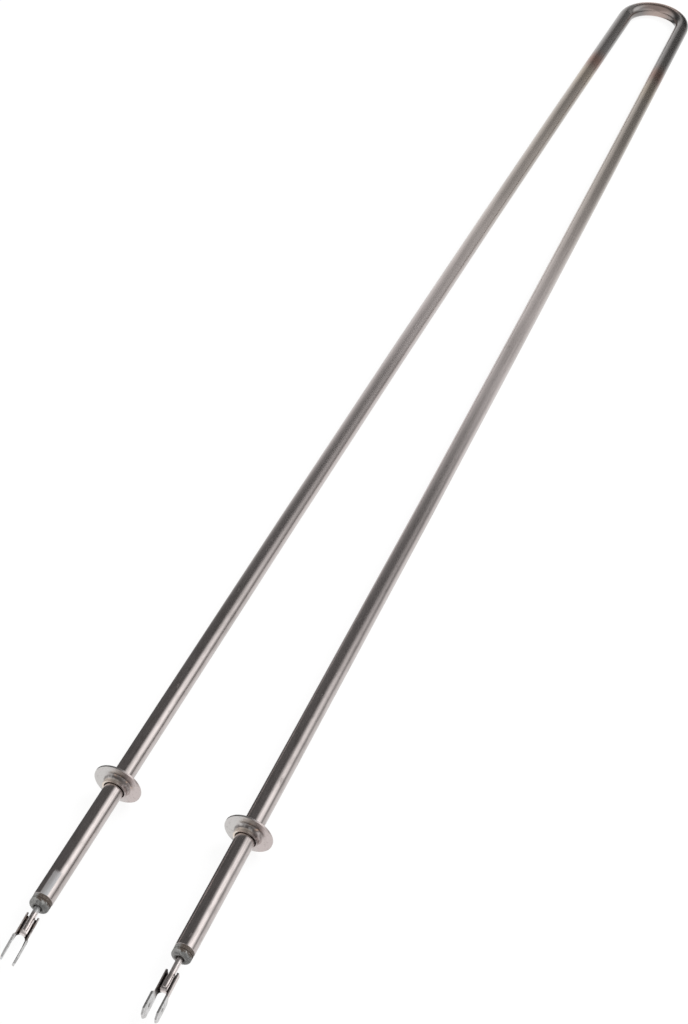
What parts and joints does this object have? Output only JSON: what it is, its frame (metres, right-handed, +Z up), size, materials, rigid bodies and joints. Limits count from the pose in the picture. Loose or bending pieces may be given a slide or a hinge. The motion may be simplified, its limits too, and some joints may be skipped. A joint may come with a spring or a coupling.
{
  "type": "tubular heating element",
  "caption": "Hairpin tubular heating element with a flanged collar on each leg and folded twin-tab terminals.",
  "frame": {"origin": "centre of the bounding box's base, half way between the flanges' outer rims", "axes": "+Y along the element from the terminals to the return bend, +X from the left leg to the right leg, +Z up from the floor it rests on"},
  "size_m": [0.0796, 0.7909, 0.021],
  "materials": {
    "sheath_steel": "bright annealed, heat tinted towards the bend",
    "magnesia": "matt compacted powder",
    "resistance_alloy": "oxidised",
    "pin_steel": "bright drawn",
    "seal_resin": "matt",
    "bush_ceramic": "satin grey",
    "flange_steel": "satin pressed",
    "tab_steel": "satin pressed"
  },
  "bodies": {
    "root": {"sheath_tube": "sheath_steel", "magnesia_fill": "magnesia", "resistance_coil": "resistance_alloy", "left_terminal_pin": "pin_steel", "left_end_seal": "seal_resin", "left_end_bush": "bush_ceramic", "left_flange": "flange_steel", "left_tab_terminal": "tab_steel", "right_terminal_pin": "pin_steel", "right_end_seal": "seal_resin", "right_end_bush": "bush_ceramic", "right_flange": "flange_steel", "right_tab_terminal": "tab_steel"}
  },
  "joints": []
}
